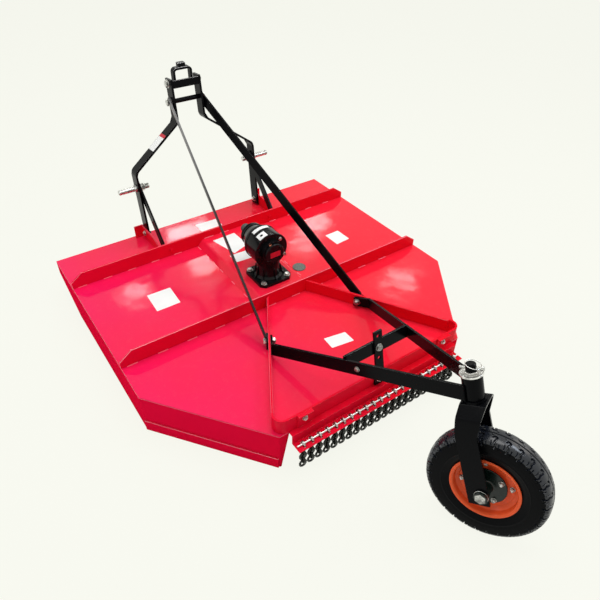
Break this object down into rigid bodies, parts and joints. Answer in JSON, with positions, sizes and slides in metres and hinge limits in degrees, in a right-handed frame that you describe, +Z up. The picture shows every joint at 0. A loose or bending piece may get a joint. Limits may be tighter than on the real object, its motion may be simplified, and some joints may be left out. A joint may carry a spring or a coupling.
{
  "type": "tractor-mounted rotary mower",
  "caption": "Three-point-hitch rotary mower with a flat skirted deck, gearbox, swinging blades, chain guard and a castered tail wheel.",
  "frame": {"origin": "on the floor under the middle of the whole machine's box, at rest on its skirts and tail wheel", "axes": "+X to the machine's right, +Y forwards to the tractor, +Z up"},
  "size_m": [1.5052, 2.1574, 0.9493],
  "materials": {
    "red_paint": "glossy bright red enamel on steel sheet and flat bar",
    "black_paint": "semi-gloss black enamel on steel flat bar",
    "cast_black": "glossy black paint over a cast iron skin",
    "orange_paint": "orange-red enamel on a pressed wheel",
    "hub_paint": "dark green-black paint",
    "zinc": "bright zinc-plated steel",
    "bare_steel": "dull forged and rolled steel",
    "dark_chain": "dark oiled welded chain on a bright rod",
    "grey_plastic": "dark grey moulded plastic",
    "tyre": "black treaded rubber"
  },
  "bodies": {
    "frame": {"deck_plate": "red_paint", "side_skirt_left": "red_paint", "side_skirt_right": "red_paint", "skirt_band_left": "red_paint", "skirt_band_right": "red_paint", "front_beam": "red_paint", "rear_beam": "red_paint", "rib_left": "red_paint", "rib_right": "red_paint", "rear_flange": "red_paint", "gearbox_plate": "red_paint", "hitch_bracket_left": "red_paint", "hitch_bracket_right": "red_paint", "chain_rail": "red_paint", "access_disc": "grey_plastic", "gearbox_housing": "cast_black", "gearbox_rear_cover": "cast_black", "mast_arm_left": "black_paint", "mast_arm_right": "black_paint", "mast_strut_left": "black_paint", "mast_strut_right": "black_paint", "mast_band": "black_paint", "mast_lower_bolt": "black_paint", "mast_upper_bolt": "zinc", "lower_pin_left": "zinc", "lower_pin_right": "zinc", "foot_bolt_left": "zinc", "foot_bolt_right": "zinc", "brace_left": "black_paint", "brace_right": "black_paint", "pivot_bolt_left": "zinc", "pivot_bolt_right": "zinc", "wheel_arm_left": "black_paint", "wheel_arm_right": "black_paint", "frame_crossbar": "black_paint", "height_strap": "black_paint", "strap_bolt": "zinc", "strap_foot_bolt": "zinc", "strut_bolt_left": "zinc", "strut_bolt_right": "zinc", "swivel_barrel": "black_paint", "chain_curtain": "dark_chain", "rail_bolt_left": "zinc", "rail_bolt_right": "zinc"},
    "caster": {"fork": "black_paint", "spindle_washer": "zinc", "linch_pin": "zinc", "axle": "zinc"},
    "wheel": {"tyre": "tyre", "rim": "orange_paint", "wheel_hub": "hub_paint"},
    "rotor": {"output_hub": "bare_steel", "blade_carrier": "bare_steel"},
    "swing_blade_1": {"blade_1": "bare_steel"},
    "swing_blade_2": {"blade_2": "bare_steel"},
    "input": {"input_shaft": "grey_plastic"},
    "top_link": {"top_link_yoke": "black_paint"}
  },
  "joints": [
    {"name": "caster_swivel", "type": "hinge", "parent": "frame", "child": "caster", "pos_m": [0, -0.7604, 0.49056], "axis": [0, 0.3827, 0.9239], "continuous": true},
    {"name": "wheel_spin", "type": "hinge", "parent": "caster", "child": "wheel", "pos_m": [0.0046, -0.89593, 0.18947], "axis": [0.9085, 0.3861, -0.1599], "continuous": true},
    {"name": "rotor_spin", "type": "hinge", "parent": "frame", "child": "rotor", "pos_m": [0, 0.36098, 0.088], "axis": [0, 0, 1], "continuous": true},
    {"name": "blade_1_swing", "type": "hinge", "parent": "rotor", "child": "swing_blade_1", "pos_m": [0.345, 0.36098, 0.088], "axis": [0, 0, 1], "continuous": true},
    {"name": "blade_2_swing", "type": "hinge", "parent": "rotor", "child": "swing_blade_2", "pos_m": [-0.345, 0.36098, 0.088], "axis": [0, 0, 1], "continuous": true},
    {"name": "input_spin", "type": "hinge", "parent": "frame", "child": "input", "pos_m": [0, 0.49898, 0.352], "axis": [0, 1, 0], "continuous": true},
    {"name": "top_link_tilt", "type": "hinge", "parent": "frame", "child": "top_link", "pos_m": [0, 1.05589, 0.86733], "axis": [1, 0, 0], "range_deg": [-95, 0]}
  ],
  "couplings": [
    {"joint": "input_spin", "follows": "rotor_spin", "ratio": 0.6818}
  ]
}
